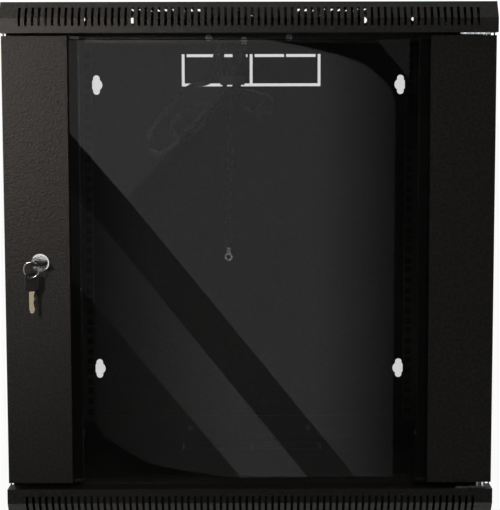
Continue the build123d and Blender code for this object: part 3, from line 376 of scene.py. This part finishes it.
def flat(name, points, material, glossy_only=False):
    data = bpy.data.meshes.new(name)
    data.from_pydata(points, [], [tuple(range(len(points)))])
    data.materials.append(material)
    obj = link(bpy.data.objects.new(name, data))
    if glossy_only:
        obj.visible_camera = obj.visible_diffuse = obj.visible_shadow = False
    return obj


def floor_material(name, grey, glow_share):
    """Matt floor that glows white to direct rays. Mirrored rays pass through it, so no glass shows it."""
    material = bpy.data.materials.new(name)
    material.use_nodes = True
    tree = material.node_tree
    matt = tree.nodes["Principled BSDF"]
    matt.inputs["Base Color"].default_value = (grey, grey, grey, 1.0)
    matt.inputs["Roughness"].default_value = 0.9
    glow = tree.nodes.new("ShaderNodeEmission")
    clear = tree.nodes.new("ShaderNodeBsdfTransparent")
    path = tree.nodes.new("ShaderNodeLightPath").outputs
    share = math_node(tree, "MULTIPLY", seen_direct(tree), glow_share)
    lit = mix_shaders(tree, share, matt.outputs[0], glow.outputs[0])
    mirrored = math_node(tree, "GREATER_THAN", path["Glossy Depth"], 0.5)
    shown = mix_shaders(tree, mirrored, lit, clear.outputs[0])
    tree.links.new(shown, tree.nodes["Material Output"].inputs[0])
    return material


def floor_plane(name, low, high, z, material):
    return flat(name, [(x, y, z) for x, y in rectangle(low, high)], material)


# Floor just below the base, and under the cabinet a darker patch that stays within its outline, a painted
# shadow under the cabinet
floor_gap = 0.5 * MM
patch_gap = 0.3 * MM
(west, south, bottom), (east, north, _) = cad_box
floor_plane("floor", (-9, -9), (9, 20), bottom - floor_gap, floor_material("pale_floor", 0.86, 0.95))
floor_plane("painted_shadow_patch", (west + 0.03, south + 0.04), (east - 0.03, north - 0.02), bottom - patch_gap,
            floor_material("painted_shadow_under_cabinet", 0.12, 0.0))


# Studio wall behind the camera and the bright panels on it, seen only as glare in glass and metal
wall_y = -3.5
panel_step = 0.01


def card_light(name, left, right):
    """Emission between two places, each given as its x and its strength."""
    (start, low), (end, high) = left, right
    material = bpy.data.materials.new(name)
    material.use_nodes = True
    tree = material.node_tree
    tree.nodes.remove(tree.nodes["Principled BSDF"])
    emission = tree.nodes.new("ShaderNodeEmission")
    coords = tree.nodes.new("ShaderNodeTexCoord")
    split = tree.nodes.new("ShaderNodeSeparateXYZ")
    tree.links.new(coords.outputs["Object"], split.inputs[0])
    strength = map_range(tree, split.outputs["X"], start, end, low, high)
    tree.links.new(strength, emission.inputs["Strength"])
    tree.links.new(emission.outputs[0], tree.nodes["Material Output"].inputs[0])
    return material


def wall_card(name, outline, layer, left, right):
    """Panel with an outline in x and z, so many steps in front of the wall."""
    y = wall_y + layer * panel_step
    return flat(name, [(x, y, z) for x, z in outline], card_light(name, left, right), glossy_only=True)


wall_card("wall", rectangle((-5, -4), (5, 10)), 0, (0.0, 0.012), (1.0, 0.012))

# Slanting edges between the panels, from the upper left down to the lower right. A scratch program worked
# out many of the panels' corners from places of the glare in the glass
upper_slant = [(-0.80, 0.36), (-0.555, 0.076), (-0.375, -0.135), (0.344, -1.025), (0.405, -1.10)]
lower_slant = [(-0.80, 0.21), (-0.446, -0.229), (0.192, -1.025), (0.252, -1.10)]
round_corner = [
    (0.08, 0.35), (0.165, 0.335), (0.241, 0.317), (0.30, 0.302), (0.344, 0.286), (0.378, 0.268),
    (0.403, 0.246), (0.427, 0.226), (0.444, 0.206), (0.454, 0.183), (0.459, 0.157),
]
round_foot = [
    (-0.02, -1.025), (-0.06, -1.021), (-0.12, -1.011), (-0.204, -1.0), (-0.26, -0.989),
    (-0.316, -0.974), (-0.38, -0.94), (-0.437, -0.90), (-0.463, -0.876), (-0.478, -0.849),
]
top_left = [(-0.80, 0.42), (-0.10, 0.38)]
wall_card("card_large", top_left + round_corner + [(0.459, -1.10)] + upper_slant[::-1],
          1, (0.21, 0.33), (0.459, 0.08))
wall_card("card_bright", top_left + [(0.02, 0.36), (-0.06, 0.197), (-0.123, 0.138)] + upper_slant[2::-1],
          2, (-0.3, 0.43), (0.0, 0.37))
wall_card("card_corner", [(0.362, 0.40), (0.75, 0.40), (0.75, -0.05), (0.565, 0.161), (0.40, 0.354)],
          1, (0.4, 0.11), (0.6, 0.10))
wall_card("card_band", upper_slant + lower_slant[::-1], 1, (-0.5, 0.03), (-0.3, 0.10))
wall_card("card_middle", lower_slant + [(0.047, -1.10), (-0.02, -1.025), (-0.552, -0.38), (-0.80, -0.08)],
          1, (-0.5, 0.06), (-0.05, 0.33))
wall_card("card_low", [(-0.478, -0.47)] + round_foot, 1, (-0.48, 0.05), (-0.2, 0.11))


def mirrored_only_by(card, *names):
    receivers = bpy.data.collections.new(card.name + "_receivers")
    for name in names:
        receivers.objects.link(nodes[name])
    card.light_linking.receiver_collection = receivers


lock_card = wall_card("card_lock", rectangle((-0.78, -0.31), (-0.56, 0.10)), 3, (-0.78, 1.5), (-0.56, 1.5))
mirrored_only_by(lock_card, "lock_body", "lock_plug")
hinge_card = wall_card("card_hinge", rectangle((0.50, 0.12), (1.00, 0.65)), 3, (0.50, 3.5), (1.00, 3.5))
mirrored_only_by(hinge_card, "hinge_bracket_top")


# Soft boxes
def soft_box(name, spot, aim, width, height, power, color):
    light = bpy.data.lights.new(name, "AREA")
    light.shape = "RECTANGLE"
    light.size, light.size_y = width, height
    light.energy = power
    light.color = color
    obj = link(bpy.data.objects.new(name, light))
    obj.matrix_world = (Vector(aim) - Vector(spot)).to_track_quat("-Z", "Y").to_matrix().to_4x4()
    obj.matrix_world.translation = spot
    return obj


key_spread = 31
key = soft_box("key", spot=(-0.90, -2.20, 0.62), aim=(-0.44, -0.445, 0.235), width=0.35, height=0.35,
               power=1.36, color=(1.0, 0.92, 0.89))
key.data.spread = math.radians(key_spread)
fill = soft_box("fill", spot=(0.6, -2.6, 1.9), aim=(0.0, -0.45, 0.0), width=2.0, height=1.4,
                power=9.0, color=(1.0, 0.97, 0.92))
soft_box("top", spot=(0.2, -0.6, 2.2), aim=(0.0, -0.3, 0.3), width=1.6, height=1.0,
         power=0.4, color=(1.0, 0.99, 0.97))

# The fill lamp's light passes the door's glass without a shadow
passed = bpy.data.collections.new("passed_by_fill")
passed.objects.link(nodes["door_glass"])
fill.light_linking.blocker_collection = passed
passed.collection_objects[0].light_linking.link_state = "EXCLUDE"
